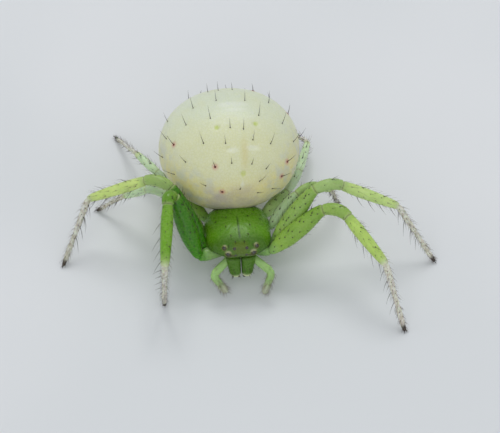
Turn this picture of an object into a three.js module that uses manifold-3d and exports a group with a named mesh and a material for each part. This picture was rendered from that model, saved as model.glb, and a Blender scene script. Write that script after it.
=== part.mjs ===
// Green crab spider, adult female, life size. Millimetres, +Z up, head towards -Y, the animal's left at +X.
// Built about the middle of the cephalothorax, with the floor at Z = 0, then moved so that the origin
// is on the floor under the middle of its footprint.
import * as THREE from "three";
import { mergeGeometries, mergeVertices } from "three/addons/utils/BufferGeometryUtils.js";
import Module from "manifold-3d";

const wasm = await Module();
wasm.setup();

// Driving sizes

const GAP = 0.03; // between touching pieces of an animal 7 mm long
const EYE_GAP = 0.012;
const KNEE_GAP = 0.045; // where the leg bends most, so that the inner side keeps a gap too

const CARAPACE = { width: 2.26, rear: 1.3, front: -1.1, edge: 1.32, crown: 2.02, sternum: 0.82 };
const HEAD = { width: 1.3, middle: -0.5, halfLength: 0.6 };
const ABDOMEN = {
  width: 4.86,
  length: 4.5,
  above: 1.72,
  below: 1.62,
  middle: [0, 2.9, 2.42],
  front: 0.93,
  square: 0.95,
};
const PEDICEL = { radius: 0.16, low: [0, 0.75, 1.06], high: [0, 1.75, 1.12] };
const SPINNERET = { radius: 0.11, length: 0.34, ring: 0.16, middle: [0, 4.55, 1.28], lean: 0.9 };

const HIP_Z = 1.2;
// Each pair's hip beside the sternum, and its girth against that of the front pair
const PAIRS = [
  { hip: [1.05, -0.74], girth: 1 },
  { hip: [1.2, -0.35], girth: 0.93 },
  { hip: [1.12, 0.27], girth: 0.71 },
  { hip: [0.92, 0.78], girth: 0.71 },
];
// Where the knee, the end of the tibia and the foot of each leg stand in this pose. The right front leg is
// held out from the body, by how far its hip stands outside its pair's.
const STANCE = {
  right_1: { knee: [-2.27, 0.85, 3.35], ankle: [-2.69, -2.07, 2.49], foot: [-2.71, -1.75], out: 0.36 },
  left_1: { knee: [3.31, 0.11, 2.68], ankle: [4.82, -2.25, 1.92], foot: [5.33, -3.73] },
  right_2: { knee: [-2.34, 1.47, 3.1], ankle: [-4.99, 1.75, 1.75], foot: [-6.02, 0.27] },
  left_2: { knee: [2.97, 0.73, 3.13], ankle: [5.55, 0.18, 1.94], foot: [6.72, -0.87] },
  right_3: { knee: [-2.5, 1.62, 2.3], ankle: [-3.72, 2.38, 0.95], foot: [-4.66, 2.57] },
  left_3: { knee: [2.43, 1.2, 2.36], ankle: [3.43, 1.8, 1.1], foot: [3.72, 2.0] },
  right_4: { knee: [-2.06, 2.78, 0.88], ankle: [-3.12, 4.3, 0.85], foot: [-3.74, 5.76] },
  left_4: { knee: [2.21, 2.17, 1.1], ankle: [2.92, 4.42, 0.55], foot: [2.1, 5.7] },
};
// Along the leg: share of its own stretch, and the radius there on the front pair
const FEMUR = [[0, 0.16], [0.08, 0.205], [0.3, 0.31], [0.6, 0.32], [0.85, 0.25], [1, 0.2]];
const COXA = [[0, 0.24], [0.7, 0.22], [1, 0.16]];
const PATELLA = [[0, 0.195], [0.35, 0.22], [0.75, 0.215], [1, 0.19]];
const TIBIA = [[0, 0.185], [0.25, 0.215], [0.6, 0.2], [0.9, 0.16], [1, 0.13]];
const METATARSUS = [[0, 0.11], [0.15, 0.118], [0.6, 0.1], [1, 0.085]];
const TARSUS = [[0, 0.08], [0.3, 0.095], [0.75, 0.085], [1, 0.06]];
const KNEE_CUT = 0.47; // how far before the knee's corner the patella starts, and how far past it turns down
const PATELLA_TAIL = 0.3; // how far the patella goes on past that second turn
const METATARSUS_SHARE = 0.6; // of the stretch from ankle to foot
const CORNER_BEND = 0.2; // how far from the hip or the ankle the leg starts to turn
// The same for the two corners of the knee, and its largest share of the way between them
const KNEE_BEND = { most: 0.4, share: 0.47 };
const FOOT_SINK = 0.016; // how deep the end of each foot goes below the floor, which cuts a small flat there
const LEG_SIDES = 10;

const CHELICERA = {
  top: [0.255, -0.98, 1.36],
  tip: [0.19, -1.2, 0.6],
  wide: 0.26,
  deep: 0.21,
  tipShare: 0.68,
};
// The lobes behind the jaws, and half their width, depth and height
const MOUTH_LOBE = { middle: [0.17, -0.74, 0.98], half: [0.155, 0.2, 0.4] };
const FANG = { root: [0.15, -1.2, 0.62], tip: [0.04, -1.16, 0.52], radius: 0.045 };
const PALPS = {
  right: { base: [-0.5, -0.98, 1.14], knee: [-1.0, -1.38, 0.96], tip: [-0.54, -1.66, 0.28] },
  left: { base: [0.5, -0.98, 1.14], knee: [1.02, -1.5, 1.0], tip: [0.71, -1.82, 0.26] },
};
const PALP_UPPER = [[0, 0.11], [0.3, 0.135], [0.7, 0.14], [1, 0.125]];
const PALP_TARSUS = [[0, 0.12], [0.35, 0.135], [0.8, 0.11], [1, 0.055]];
const PALP_TARSUS_SHARE = 0.52; // of the stretch from the palp's knee to its tip

// Sideways and height on the face, and radius. The two rows bend back, and the outer eyes are the large ones.
const EYES = {
  front_median: { x: 0.19, z: 1.6, r: 0.055 },
  front_lateral: { x: 0.43, z: 1.66, r: 0.085 },
  rear_median: { x: 0.21, z: 1.83, r: 0.05 },
  rear_lateral: { x: 0.545, z: 1.82, r: 0.07 },
};

// Bristles. Round a leg or palp, degrees run from 0 at one side by 90 on top to 270 underneath.
const BRISTLE = { radius: 0.02, tip: 0.25, sunk: 0.05, lean: 0.75, bend: 0.35, clear: 0.03 };
// On the abdomen, each row is its degrees back from the front end, then the degrees that each bristle stands
// to the animal's right of the midline, then the row's usual length
const MIDLINE = 84;
const ABDOMEN_ROWS = [
  [14, [-66, -6, 44], 0.2],
  [26, [-78, -38, 58], 0.3],
  [41, [-68, -35, -14, 8, 27], 0.28],
  [56, [-60, 56, 82], 0.34],
  [66, [-30, -12, 11, 30], 0.32],
  [78, [-60, -4, 6, 60, 84], 0.32],
  [90, [-73, -42, -18, 20, 42, 68], 0.36],
  [112, [-62, -33, -9, 14, 35, 68], 0.34],
  [137, [-58, -30, -2, 12, 24, 52], 0.3],
  [158, [-50, 0, 50], 0.26],
];
// On the carapace: sideways and along, on the left half and mirrored
const CARAPACE_BRISTLES = [
  [0.32, -0.5],
  [0.42, -0.1],
  [0.36, 0.3],
  [0.75, 0.2],
  [0.6, 0.6],
  [0.14, -0.78],
  [0.42, -0.86],
];
// On the legs: shares of each piece's length, degrees round it, and length
const FRONT_LEG_BRISTLES = {
  femur: [[[0.4, 0.62, 0.85], [60, 120], 0.15]],
  patella: [[[0.6], [90], 0.24]],
  tibia: [[[0.28, 0.5, 0.7, 0.9], [240, 300], 0.3], [[0.3, 0.7], [90], 0.22]],
  metatarsus: [[[0.12, 0.4, 0.66, 0.92], [235, 305], 0.32]],
};
const REAR_LEG_BRISTLES = {
  femur: [[[0.5, 0.8], [90], 0.14]],
  patella: [[[0.6], [90], 0.16]],
  tibia: [[[0.35, 0.75], [90], 0.2], [[0.9], [235, 305], 0.2]],
  metatarsus: [[[0.5, 0.92], [235, 305], 0.2]],
};
const PALP_BRISTLES = [[[0.3, 0.65], [0, 90, 180], 0.15]];

const GREEN = "#4c8a2c";
const LEAF = "#86b548";
const PALE = "#cfc9a8";
const CREAM = "#d6dcc0";
const DARK = "#2a1d14";

// Small helpers

const V = (a) => new THREE.Vector3(...a);
const mirrorX = ([x, y, z], side) => [x * side, y, z];

// A smooth curve through [position, value] pairs, flat at both ends.
function profile(pairs) {
  return (t) => {
    const last = pairs.length - 1;
    if (t <= pairs[0][0]) return pairs[0][1];
    if (t >= pairs[last][0]) return pairs[last][1];
    const i = pairs.findIndex((p) => p[0] > t) - 1;
    const [x0, y0] = pairs[i];
    const [x1, y1] = pairs[i + 1];
    const slope = (j) =>
      j <= 0 || j >= last ? 0 : (pairs[j + 1][1] - pairs[j - 1][1]) / (pairs[j + 1][0] - pairs[j - 1][0]);
    const h = x1 - x0;
    const s = (t - x0) / h;
    const s2 = s * s;
    const s3 = s2 * s;
    return (
      y0 * (2 * s3 - 3 * s2 + 1) +
      slope(i) * h * (s3 - 2 * s2 + s) +
      y1 * (3 * s2 - 2 * s3) +
      slope(i + 1) * h * (s3 - s2)
    );
  };
}

// Closed surface over rings of equal length, each a list of Vector3, with a fan at each end.
function loft(rings) {
  const n = rings[0].length;
  const points = [];
  const faces = [];
  rings.forEach((ring) => ring.forEach((p) => points.push(p.x, p.y, p.z)));
  for (let i = 0; i + 1 < rings.length; i++)
    for (let j = 0; j < n; j++) {
      const [a, b] = [i * n + j, i * n + ((j + 1) % n)];
      faces.push(a, b, b + n, a, b + n, a + n);
    }
  const cap = (ring, base, flip) => {
    const middle = ring.reduce((sum, p) => sum.add(p), new THREE.Vector3()).divideScalar(n);
    const hub = points.length / 3;
    points.push(middle.x, middle.y, middle.z);
    for (let j = 0; j < n; j++) {
      const k = (j + 1) % n;
      faces.push(hub, ...(flip ? [base + j, base + k] : [base + k, base + j]));
    }
  };
  cap(rings[0], 0, false);
  cap(rings.at(-1), (rings.length - 1) * n, true);
  const geometry = new THREE.BufferGeometry();
  geometry.setAttribute("position", new THREE.Float32BufferAttribute(points, 3));
  geometry.setIndex(faces);
  return solid(geometry);
}

// three.js geometry to a manifold-3d solid, facing out.
function solid(geometry) {
  const bare = geometry.clone();
  bare.deleteAttribute("normal");
  bare.deleteAttribute("uv");
  const merged = mergeVertices(bare, 1e-5);
  const vertProperties = new Float32Array(merged.attributes.position.array);
  const mesh = (triVerts) => new wasm.Manifold(new wasm.Mesh({ numProp: 3, vertProperties, triVerts }));
  const triangles = new Uint32Array(merged.index.array);
  const made = mesh(triangles);
  if (made.volume() > 0) return made;
  for (let i = 0; i < triangles.length; i += 3)
    [triangles[i + 1], triangles[i + 2]] = [triangles[i + 2], triangles[i + 1]];
  return mesh(triangles);
}

// The largest closed body of a solid, as a three.js geometry.
function geometryOf(shape) {
  const body = shape.decompose().sort((a, b) => b.volume() - a.volume())[0];
  const mesh = body.getMesh();
  const geometry = new THREE.BufferGeometry();
  geometry.setAttribute("position", new THREE.BufferAttribute(new Float32Array(mesh.vertProperties), 3));
  geometry.setIndex(new THREE.BufferAttribute(new Uint32Array(mesh.triVerts), 1));
  geometry.computeVertexNormals();
  return geometry;
}

const group = new THREE.Group();
const nodes = new Map();

function addNode(name, shape, color, roughness = 0.45) {
  nodes.set(name, { shape, color, roughness });
}

function makeMesh(name, { shape, color, roughness }) {
  const material = new THREE.MeshStandardMaterial({ color, roughness, metalness: 0 });
  const mesh = new THREE.Mesh(geometryOf(shape), material);
  mesh.name = name;
  group.add(mesh);
}

// Draws from 0 to 1, the same on each run.
function seeded(seed) {
  let state = seed;
  return () => {
    state = (state * 1664525 + 1013904223) % 4294967296;
    return state / 4294967296;
  };
}
const draw = seeded(27);

// Straight stretches between corners, with the corners rounded off. Returns points a short step apart.
function roundedPath(corners, bends, step = 0.05) {
  const path = new THREE.CurvePath();
  let from = V(corners[0]);
  for (let i = 1; i + 1 < corners.length; i++) {
    const corner = V(corners[i]);
    const before = corner.clone().sub(from).normalize();
    const after = V(corners[i + 1]).sub(corner).normalize();
    const start = corner.clone().addScaledVector(before, -bends[i - 1]);
    const end = corner.clone().addScaledVector(after, bends[i - 1]);
    path.add(new THREE.LineCurve3(from, start));
    path.add(new THREE.QuadraticBezierCurve3(start, corner, end));
    from = end;
  }
  path.add(new THREE.LineCurve3(from, V(corners.at(-1))));
  const points = path.getSpacedPoints(Math.ceil(path.getLength() / step));
  return points;
}

// A limb's centreline with a frame carried along it, read by distance from the root.
class Limb {
  constructor(corners, bends) {
    this.points = roundedPath(corners, bends);
    this.at = [0];
    for (let i = 1; i < this.points.length; i++)
      this.at.push(this.at[i - 1] + this.points[i].distanceTo(this.points[i - 1]));
    this.tangents = this.points.map((p, i) => {
      const next = this.points[Math.min(i + 1, this.points.length - 1)];
      const back = this.points[Math.max(i - 1, 0)];
      return next.clone().sub(back).normalize();
    });
    const up = new THREE.Vector3(0, 0, 1);
    let side = new THREE.Vector3().crossVectors(this.tangents[0], up).normalize();
    this.sides = this.tangents.map((t) => {
      side = side.clone().addScaledVector(t, -side.dot(t)).normalize();
      return side;
    });
    this.length = this.at.at(-1);
  }
  // The distance along the limb of the point nearest to a corner.
  nearest(corner) {
    const target = V(corner);
    let best = 0;
    this.points.forEach((p, i) => {
      if (p.distanceTo(target) < this.points[best].distanceTo(target)) best = i;
    });
    return this.at[best];
  }
  frame(s) {
    const last = this.at.length - 1;
    const i = Math.min(Math.max(this.at.findIndex((a) => a > s) - 1, 0), last - 1);
    const index = s >= this.length ? last - 1 : i;
    const f = (s - this.at[index]) / (this.at[index + 1] - this.at[index]);
    const mix = (list) => list[index].clone().lerp(list[index + 1], f);
    const tangent = mix(this.tangents).normalize();
    const side = mix(this.sides).normalize();
    return { point: mix(this.points), tangent, side, up: new THREE.Vector3().crossVectors(side, tangent) };
  }
  // The bristles of one stretch, from rows of shares, degrees round it and length.
  bristles(from, to, radii, scale, rows) {
    const radius = profile(radii);
    const made = [];
    for (const [shares, turns, length] of rows)
      for (const share of shares)
        for (const turn of turns) {
          const { point, tangent, side, up } = this.frame(from + (to - from) * share);
          const a = ((turn + 16 * (draw() - 0.5)) * Math.PI) / 180;
          const out = side.clone().multiplyScalar(Math.cos(a)).addScaledVector(up, Math.sin(a));
          const root = point.clone().addScaledVector(out, radius(share) * scale * 0.97);
          made.push(bristle(root, out, tangent, length * (0.85 + 0.3 * draw())));
        }
    return made;
  }
  // The solid of one stretch of the limb, with its radius read from a profile.
  stretch(from, to, radii, { scale = 1, steps = 6, sides = LEG_SIDES } = {}) {
    const radius = profile(radii);
    const rings = [];
    for (let i = 0; i <= steps; i++) {
      const share = i / steps;
      const { point, side, up } = this.frame(from + (to - from) * share);
      const r = radius(share) * scale;
      rings.push(
        Array.from({ length: sides }, (_, j) => {
          const a = (2 * Math.PI * j) / sides;
          return point
            .clone()
            .addScaledVector(side, r * Math.cos(a))
            .addScaledVector(up, r * Math.sin(a));
        }),
      );
    }
    return loft(rings);
  }
}

// A curved three-sided spike from a root on a surface, leaning from the normal towards the lie.
function bristle(root, normal, lie, length, radius = BRISTLE.radius) {
  const out = normal.clone().addScaledVector(lie, BRISTLE.lean).normalize();
  const across = new THREE.Vector3().crossVectors(out, lie).normalize();
  const fore = new THREE.Vector3().crossVectors(across, out);
  const stations = [
    [root.clone().addScaledVector(normal, -BRISTLE.sunk), 1],
    [root.clone().addScaledVector(out, length * 0.5), 0.75],
    [root.clone().addScaledVector(out, length).addScaledVector(lie, length * BRISTLE.bend), BRISTLE.tip],
  ];
  const points = stations.flatMap(([middle, share]) =>
    [0, 1, 2].map((j) => {
      const a = (2 * Math.PI * j) / 3;
      return middle
        .clone()
        .addScaledVector(across, radius * share * Math.cos(a))
        .addScaledVector(fore, radius * share * Math.sin(a));
    }),
  );
  const position = new THREE.Float32BufferAttribute(points.flatMap((p) => p.toArray()), 3);
  const faces = [0, 1, 2, 8, 7, 6];
  for (const ring of [0, 3])
    for (let j = 0; j < 3; j++) {
      const [a, b] = [ring + j, ring + ((j + 1) % 3)];
      faces.push(a, b + 3, b, a, a + 3, b + 3);
    }
  const geometry = new THREE.BufferGeometry();
  geometry.setAttribute("position", position);
  geometry.setIndex(faces);
  return solid(geometry);
}

// Fuses bristles to a node, without those that would reach the floor or come too near another node.
function grow(name, bristles) {
  const node = nodes.get(name);
  const others = [...nodes].filter(([other]) => other !== name).map(([, { shape }]) => shape);
  const free = bristles.filter(
    (spike) =>
      spike.boundingBox().min[2] > BRISTLE.clear &&
      others.every((other) => spike.minGap(other, 2 * BRISTLE.clear) > BRISTLE.clear),
  );
  node.shape = wasm.Manifold.union([node.shape, ...free]);
}

// Cephalothorax: sections across the body, domed above the edge of the carapace and flatter under it

const discWidth = (y) => {
  const middle = 0.1;
  const power = 2.7;
  const reach = CARAPACE.rear - middle;
  const t = Math.min(Math.abs((y - middle) / reach), 1);
  return (CARAPACE.width / 2) * (1 - t ** power) ** (1 / power);
};
const headWidth = (y) => {
  const t = Math.min(Math.abs((y - HEAD.middle) / HEAD.halfLength), 1);
  return (HEAD.width / 2) * (1 - t ** 5) ** (1 / 5);
};
const halfWidth = (y) => {
  const [a, b] = [discWidth(y), headWidth(y)];
  return (a ** 8 + b ** 8) ** (1 / 8);
};
const { front, rear, edge: brim, crown, sternum } = CARAPACE;
const upside = [[front, 1.72], [-0.95, 1.9], [-0.55, 2.0], [0, crown], [0.7, 1.88], [rear, 1.46]];
const crownHeight = profile(upside);
const underside = [[front, 1.45], [-0.8, 1.4], [-0.6, 0.98], [-0.3, sternum], [0.5, sternum], [rear, 1.12]];
const underHeight = profile(underside);
const edgeHeight = profile([[front, 1.55], [-0.7, 1.5], [-0.3, brim], [rear, 1.28]]);

function bodySection(y, grow, sides) {
  const [w, edge] = [Math.max(halfWidth(y), 0.12) + grow, edgeHeight(y)];
  const [top, bottom] = [crownHeight(y) - edge + grow, edge - underHeight(y) + grow];
  return Array.from({ length: sides }, (_, j) => {
    const a = (2 * Math.PI * j) / sides;
    const [c, s] = [Math.cos(a), Math.sin(a)];
    const power = s > 0 ? 0.9 : 0.8;
    const x = w * Math.sign(c) * Math.abs(c) ** power;
    const z = edge + (s > 0 ? top : bottom) * Math.sign(s) * Math.abs(s) ** power;
    return new THREE.Vector3(x, y, z);
  });
}

function cephalothorax(grow = 0, sides = 26, steps = 20) {
  const rings = [];
  for (let i = 0; i <= steps; i++) {
    const t = (1 - Math.cos((Math.PI * i) / steps)) / 2;
    const y = CARAPACE.front + 0.01 + (CARAPACE.rear - CARAPACE.front - 0.02) * t;
    rings.push(bodySection(y, grow, sides));
  }
  rings[0].forEach((p) => (p.y -= grow));
  rings.at(-1).forEach((p) => (p.y += grow));
  return loft(rings);
}

// True where a point lies inside the upper half of the cephalothorax.
function insideHead(x, y, z) {
  const edge = edgeHeight(y);
  const [w, top] = [halfWidth(y), crownHeight(y) - edge];
  if (z > edge + top) return false;
  const height = z > edge ? (z - edge) / top : 0;
  return (Math.abs(x) / w) ** (2 / 0.9) + height ** (2 / 0.9) < 1;
}

// How far forward the face reaches at a given place across and up.
function faceAt(x, z) {
  for (let y = CARAPACE.front + 0.01; y < 0; y += 0.005) if (insideHead(x, y, z)) return y;
  return 0;
}

// Abdomen: sections across the body, blunt in front and under, broad and high behind

const squared = (x) => Math.sign(x) * Math.abs(x) ** ABDOMEN.square;

// How wide and high a section is, from its turn back from the front end, and how much more its sides draw in.
function abdomenSection(turn) {
  const t = -Math.cos(turn);
  const girth = Math.sin(turn) ** (t < 0 ? 0.8 : 0.9);
  const taper = t < 0 ? ABDOMEN.front + (1 - ABDOMEN.front) * (1 + t) ** 0.5 : 1;
  return { t, girth, taper };
}

function abdomen(grow = 0, sides = 28, steps = 18) {
  const [cx, cy, cz] = ABDOMEN.middle;
  const half = ABDOMEN.length / 2 + grow;
  const rings = [];
  for (let i = 0; i <= steps; i++) {
    const { t, girth, taper } = abdomenSection(Math.PI * (0.02 + (0.96 * i) / steps));
    rings.push(
      Array.from({ length: sides }, (_, j) => {
        const a = (2 * Math.PI * j) / sides;
        const [c, s] = [Math.cos(a), Math.sin(a)];
        const x = (ABDOMEN.width / 2) * girth * taper * squared(c);
        const z = (s > 0 ? ABDOMEN.above : ABDOMEN.below) * girth * squared(s);
        return new THREE.Vector3(cx + x + grow * c * girth, cy + half * t, cz + z + grow * s * girth);
      }),
    );
  }
  return loft(rings);
}

// A point on the abdomen, from degrees back from its front end and degrees round it from its midline.
function onAbdomen(back, round) {
  const [cx, cy, cz] = ABDOMEN.middle;
  const { t, girth, taper } = abdomenSection((back * Math.PI) / 180);
  const a = ((MIDLINE + round) * Math.PI) / 180;
  const [c, s] = [squared(Math.cos(a)), squared(Math.sin(a))];
  const half = [ABDOMEN.width / 2, ABDOMEN.length / 2, ABDOMEN.above];
  const place = [half[0] * girth * taper * c, half[1] * t, half[2] * girth * s];
  const normal = V(place.map((x, i) => x / half[i] ** 2)).normalize();
  return { point: V([cx, cy, cz]).add(V(place)), normal };
}

function abdomenBristles() {
  const spikes = [];
  for (const [back, places, usual] of ABDOMEN_ROWS)
    for (const round of places) {
      const { point, normal } = onAbdomen(back + 5 * (draw() - 0.5), round);
      const lie = new THREE.Vector3(0, 1, 0).addScaledVector(normal, -normal.y).normalize();
      spikes.push(bristle(point, normal, lie, usual * (0.8 + 0.4 * draw())));
    }
  grow("abdomen", spikes);
}

function carapaceBristles() {
  const spikes = [];
  for (const [x, y] of CARAPACE_BRISTLES)
    for (const side of [1, -1]) {
      const height = (dx, dy) => {
        const top = crownHeight(y + dy) - edgeHeight(y + dy);
        const across = Math.abs(x + dx) / halfWidth(y + dy);
        return edgeHeight(y + dy) + top * Math.max(1 - across ** (2 / 0.9), 0) ** 0.45;
      };
      const step = 0.02;
      const dx = (height(step, 0) - height(-step, 0)) / (2 * step);
      const dy = (height(0, step) - height(0, -step)) / (2 * step);
      const normal = new THREE.Vector3(-dx * side, -dy, 1).normalize();
      const lie = new THREE.Vector3(0, -1, 0).addScaledVector(normal, normal.y).normalize();
      const root = new THREE.Vector3(x * side, y, height(0, 0));
      spikes.push(bristle(root, normal, lie, 0.13 + 0.05 * draw(), 0.015));
    }
  grow("cephalothorax", spikes);
}

// Legs

function legPath(name) {
  const side = name.startsWith("left") ? 1 : -1;
  const pair = PAIRS[Number(name.at(-1)) - 1];
  const { knee, ankle, foot, out = 0 } = STANCE[name];
  const hip = [(pair.hip[0] + out) * side, pair.hip[1], HIP_Z];
  const root = [0.42 * hip[0], 0.5 * hip[1], HIP_Z - 0.12];
  const slope = V([...foot, 0]).sub(V(ankle)).normalize().z;
  const toe = [...foot, TARSUS.at(-1)[1] * pair.girth * Math.sqrt(1 - slope * slope) - FOOT_SINK];
  const towards = (from, to) => V(from).addScaledVector(V(to).sub(V(from)).normalize(), KNEE_CUT).toArray();
  const [kneeIn, kneeOut] = [towards(knee, hip), towards(knee, ankle)];
  const bend = Math.min(KNEE_BEND.most, KNEE_BEND.share * V(kneeIn).distanceTo(V(kneeOut)));
  const limb = new Limb([root, hip, kneeIn, kneeOut, ankle, toe], [CORNER_BEND, bend, bend, CORNER_BEND]);
  return { limb, hip, kneeIn, kneeOut, ankle, girth: pair.girth };
}

const floor = (() => {
  const slab = new THREE.BoxGeometry(30, 30, 2);
  slab.translate(0, 0, -1);
  return solid(slab);
})();

// Where each piece of a leg starts and ends along it.
function legPieces(name) {
  const { limb, hip, kneeIn, kneeOut, ankle, girth } = legPath(name);
  const corners = [hip, kneeIn, kneeOut, ankle];
  const [atHip, atKnee, atTurn, atAnkle] = corners.map((corner) => limb.nearest(corner));
  const atTibia = atTurn + PATELLA_TAIL * girth;
  const atTarsus = atAnkle + (limb.length - atAnkle) * METATARSUS_SHARE;
  const piece = (from, to, radii) => ({ limb, girth, from: from + GAP / 2, to: to - GAP / 2, radii });
  const spare = (KNEE_GAP - GAP) / 2;
  return {
    femur: piece(atHip, atKnee - spare, FEMUR),
    patella: piece(atKnee + spare, atTibia, PATELLA),
    tibia: piece(atTibia, atAnkle, TIBIA),
    metatarsus: piece(atAnkle, atTarsus, METATARSUS),
    tarsus: piece(atTarsus, limb.length + GAP / 2, TARSUS),
  };
}

function femur(name, grown = 0) {
  const { limb, from, to, radii, girth } = legPieces(name).femur;
  const thick = radii.map(([share, radius]) => [share, radius + grown / girth]);
  return limb.stretch(from, to + grown, thick, { scale: girth, steps: 8 });
}

// The femurs crowd at their roots, so each is cut clear of the body and of the femur in front of it.
function femurs(bodyGrown) {
  for (const name of Object.keys(STANCE)) {
    const [side, number] = [name.slice(0, -1), Number(name.at(-1))];
    let shape = femur(name).subtract(bodyGrown);
    if (number > 1) shape = shape.subtract(femur(`${side}${number - 1}`, GAP));
    addNode(`leg_${name}_femur`, shape, LEAF);
  }
}

function legBristles(name) {
  for (const [part, { limb, from, to, radii, girth }] of Object.entries(legPieces(name))) {
    const rows = (Number(name.at(-1)) < 3 ? FRONT_LEG_BRISTLES : REAR_LEG_BRISTLES)[part];
    if (rows) grow(`leg_${name}_${part}`, limb.bristles(from, to, radii, girth, rows));
  }
}

function shin(name) {
  const looks = {
    patella: { color: LEAF, steps: 6, sides: LEG_SIDES },
    tibia: { color: LEAF, steps: 6, sides: LEG_SIDES },
    metatarsus: { color: PALE, steps: 5, sides: 8 },
    tarsus: { color: PALE, steps: 5, sides: 8 },
  };
  for (const [part, { limb, from, to, radii, girth }] of Object.entries(legPieces(name))) {
    if (part === "femur") continue;
    const { color, steps, sides } = looks[part];
    const shape = limb.stretch(from, to, radii, { scale: girth, steps, sides });
    addNode(`leg_${name}_${part}`, part === "tarsus" ? shape.subtract(floor) : shape, color);
  }
}

// The coxa of each leg, a short tube out to its hip, is one with the cephalothorax.
function coxae(grow = 0) {
  return Object.keys(STANCE).map((name) => {
    const { limb, hip, girth } = legPath(name);
    const end = limb.nearest(hip) - GAP / 2 + grow;
    const radii = COXA.map(([share, radius]) => [share, radius + grow / girth]);
    return limb.stretch(0, end, radii, { scale: girth, steps: 4 });
  });
}

// Mouthparts

// The two lobes behind the jaws are one with the cephalothorax.
function mouthLobes(grow = 0) {
  return [1, -1].map((side) => {
    const ball = new THREE.SphereGeometry(1, 8, 6);
    ball.scale(...MOUTH_LOBE.half.map((x) => x + grow));
    ball.translate(...mirrorX(MOUTH_LOBE.middle, side));
    return solid(ball);
  });
}

function chelicera(side, grow = 0) {
  const { top, tip, wide, deep, tipShare } = CHELICERA;
  const [a, b] = [V(mirrorX(top, side)), V(mirrorX(tip, side))];
  a.z += grow;
  b.z -= grow;
  const steps = 7;
  const rings = Array.from({ length: steps + 1 }, (_, i) => {
    const t = i / steps;
    const swell = (1 - (1 - tipShare) * t ** 1.5) * (1 - 0.25 * Math.max(0, t - 0.8) * 5);
    const middle = a.clone().lerp(b, t);
    return Array.from({ length: 12 }, (_, j) => {
      const turn = (2 * Math.PI * j) / 12;
      const x = middle.x + (wide * swell + grow) * Math.cos(turn);
      const inner = side * Math.max(side * x, GAP / 2);
      return new THREE.Vector3(inner, middle.y + (deep * swell + grow) * Math.sin(turn), middle.z);
    });
  });
  const [root, point] = [V(mirrorX(FANG.root, side)), V(mirrorX(FANG.tip, side))];
  const fang = new Limb([root.toArray(), root.clone().lerp(point, 0.5).toArray(), point.toArray()], [0.01]);
  const sharp = [[0, FANG.radius], [1, FANG.radius * 0.3]];
  const spike = fang.stretch(0, fang.length, sharp, { steps: 2, sides: 6 });
  return loft(rings).add(spike);
}

function palpPath(name) {
  const { base, knee, tip } = PALPS[name];
  const root = [base[0] * 0.75, base[1] + 0.2, base[2] + 0.1];
  const limb = new Limb([root, base, knee, tip], [0.08, 0.2]);
  const atTarsus = limb.nearest(knee) + (limb.length - limb.nearest(knee)) * (1 - PALP_TARSUS_SHARE);
  return { limb, atTarsus };
}

function palp(name, blocks) {
  const { limb, atTarsus } = palpPath(name);
  const upper = limb.stretch(0, atTarsus - GAP / 2, PALP_UPPER, { steps: 10, sides: 8 });
  const tarsus = limb.stretch(atTarsus + GAP / 2, limb.length, PALP_TARSUS, { steps: 5, sides: 8 });
  addNode(`palp_${name}`, blocks.reduce((shape, block) => shape.subtract(block), upper), GREEN);
  addNode(`palp_${name}_tarsus`, tarsus, PALE);
}

function palpBristles(name) {
  const { limb, atTarsus } = palpPath(name);
  const spikes = limb.bristles(atTarsus + GAP / 2, limb.length, PALP_TARSUS, 1, PALP_BRISTLES);
  grow(`palp_${name}_tarsus`, spikes);
}

// Eyes: each a full ball, set half deep in a socket

function eyeBalls() {
  const balls = [];
  for (const [row, { x, z, r }] of Object.entries(EYES))
    for (const [name, side] of [["left", 1], ["right", -1]]) {
      const middle = new THREE.Vector3(x * side, faceAt(x, z) + 0.25 * r, z);
      const ball = (radius) => {
        const geometry = new THREE.IcosahedronGeometry(radius, 1);
        geometry.translate(middle.x, middle.y, middle.z);
        return solid(geometry);
      };
      balls.push({ name: `eye_${row}_${name}`, ball: ball(r), socket: ball(r + EYE_GAP) });
    }
  return balls;
}

function spinnerets(block) {
  const { radius, length, ring, middle, lean } = SPINNERET;
  const cones = [];
  const blunt = [[0, radius], [0.7, radius], [1, radius * 0.5]];
  for (let i = 0; i < 6; i++) {
    const a = (Math.PI * (i + 0.5)) / 3;
    const foot = V(middle).add(new THREE.Vector3(ring * Math.cos(a), -0.25, ring * Math.sin(a) + 0.2));
    const tip = V(middle).add(
      new THREE.Vector3(ring * 1.25 * Math.cos(a), length * lean, ring * 1.1 * Math.sin(a) - length * 0.5),
    );
    const cone = new Limb([foot.toArray(), foot.clone().lerp(tip, 0.5).toArray(), tip.toArray()], [0.05]);
    cones.push(cone.stretch(0, cone.length, blunt, { steps: 4, sides: 7 }));
  }
  return wasm.Manifold.union(cones).subtract(block);
}

function pedicel(blocks) {
  const { radius, low, high } = PEDICEL;
  const tube = new Limb([low, V(low).lerp(V(high), 0.5).toArray(), high], [0.1]);
  const shape = tube.stretch(0, tube.length, [[0, radius], [1, radius]], { steps: 3, sides: 12 });
  return blocks.reduce((kept, block) => kept.subtract(block), shape);
}

// Assembly

const eyes = eyeBalls();
const headGrown = cephalothorax(GAP);
const abdomenGrown = abdomen(GAP);
const bodyGrown = wasm.Manifold.union([headGrown, ...coxae(GAP), ...mouthLobes(GAP)]);
let body = wasm.Manifold.union([cephalothorax(), ...coxae(), ...mouthLobes()]).subtract(abdomenGrown);
eyes.forEach(({ socket }) => (body = body.subtract(socket)));

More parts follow.
